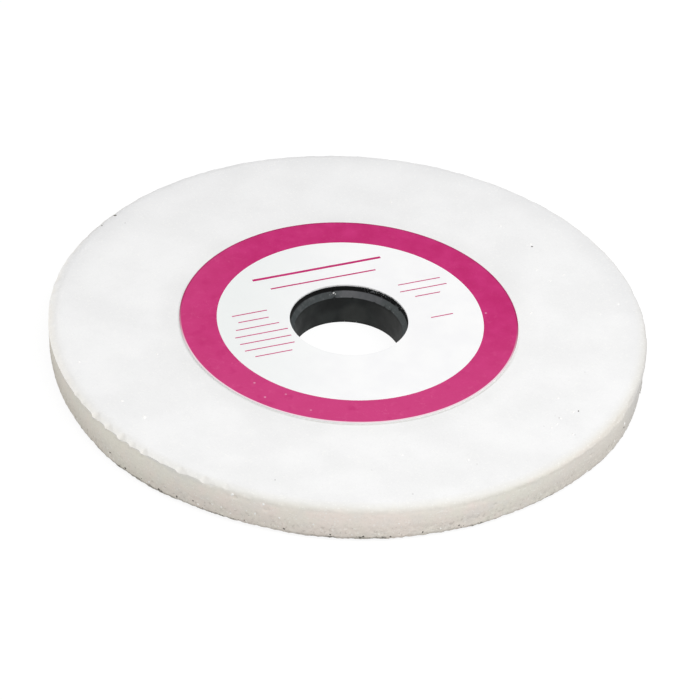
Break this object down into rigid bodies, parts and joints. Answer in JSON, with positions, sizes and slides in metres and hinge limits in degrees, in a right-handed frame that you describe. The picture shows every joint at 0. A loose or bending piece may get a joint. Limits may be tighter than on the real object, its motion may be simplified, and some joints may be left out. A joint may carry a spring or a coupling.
{
  "type": "surface grinding wheel",
  "caption": "Straight white abrasive wheel with a black moulded bush, a recessed lead-in to its bore and paper blotters, the front one printed with a raspberry band.",
  "frame": {"origin": "on the bore's axis, in the outer face of the back blotter, which the wheel lies on", "axes": "+Z along the bore, out of the printed side; +X is arbitrary round the wheel"},
  "size_m": [0.1778, 0.1778, 0.0127],
  "materials": {
    "white_abrasive": "fine white grains in a vitrified bond, matt and slightly sparkling",
    "black_bush": "moulded black plastic, satin",
    "blotter_paper": "smooth white blotting paper",
    "raspberry_ink": "flat raspberry printing ink on paper"
  },
  "bodies": {
    "root": {"abrasive_wheel": "white_abrasive", "bore_bush": "black_bush", "front_blotter": "blotter_paper", "back_blotter": "blotter_paper", "printed_band": "raspberry_ink", "printed_rules": "raspberry_ink"}
  },
  "joints": []
}
